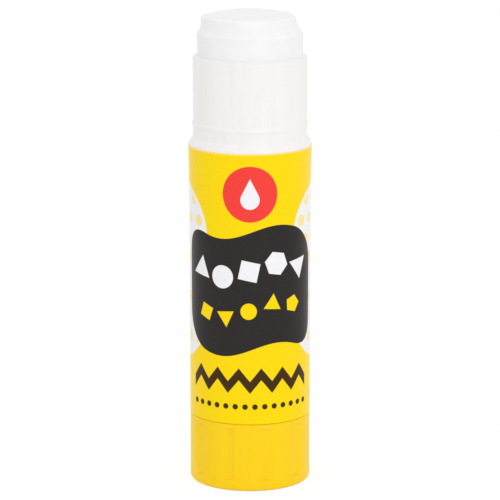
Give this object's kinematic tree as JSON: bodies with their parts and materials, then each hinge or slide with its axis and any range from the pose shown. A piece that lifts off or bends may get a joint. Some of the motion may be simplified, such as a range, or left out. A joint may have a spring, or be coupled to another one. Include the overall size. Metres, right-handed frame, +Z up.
{
  "type": "glue stick",
  "caption": "Glue stick with its cap off: a round barrel with a neck, a white glue stick standing out of it, and a fluted twist knob that raises and lowers the glue.",
  "frame": {"origin": "on the axis of the stick, at the height of the flat ring under the knob that it stands on", "axes": "+Z up along the stick's axis, from the knob to the glue; -Y towards the camera of the picture, with the label's lap at +Y"},
  "size_m": [0.027, 0.0271, 0.1034],
  "materials": {
    "white_plastic": "moulded white polypropylene, soft gloss",
    "printed_film": "printed yellow wrap film, gloss",
    "yellow_plastic": "moulded yellow polypropylene, satin gloss",
    "screw_plastic": "moulded white plastic",
    "carrier_plastic": "moulded white plastic",
    "glue": "white cast glue, waxy"
  },
  "bodies": {
    "tube": {"barrel": "white_plastic", "label": "printed_film"},
    "knob": {"twist_knob": "yellow_plastic", "lead_screw": "screw_plastic"},
    "lift": {"carrier": "carrier_plastic", "glue": "glue"}
  },
  "joints": [
    {"name": "knob_spin", "type": "hinge", "parent": "tube", "child": "knob", "pos_m": [0, 0, 0.0075], "axis": [0, 0, 1], "range_deg": [-901, 2881]},
    {"name": "glue_slide", "type": "slide", "parent": "tube", "child": "lift", "axis": [0, 0, 1], "range_m": [-0.01, 0.032]}
  ],
  "couplings": [
    {"joint": "knob_spin", "follows": "glue_slide", "rad_per_m": 1570.8}
  ]
}
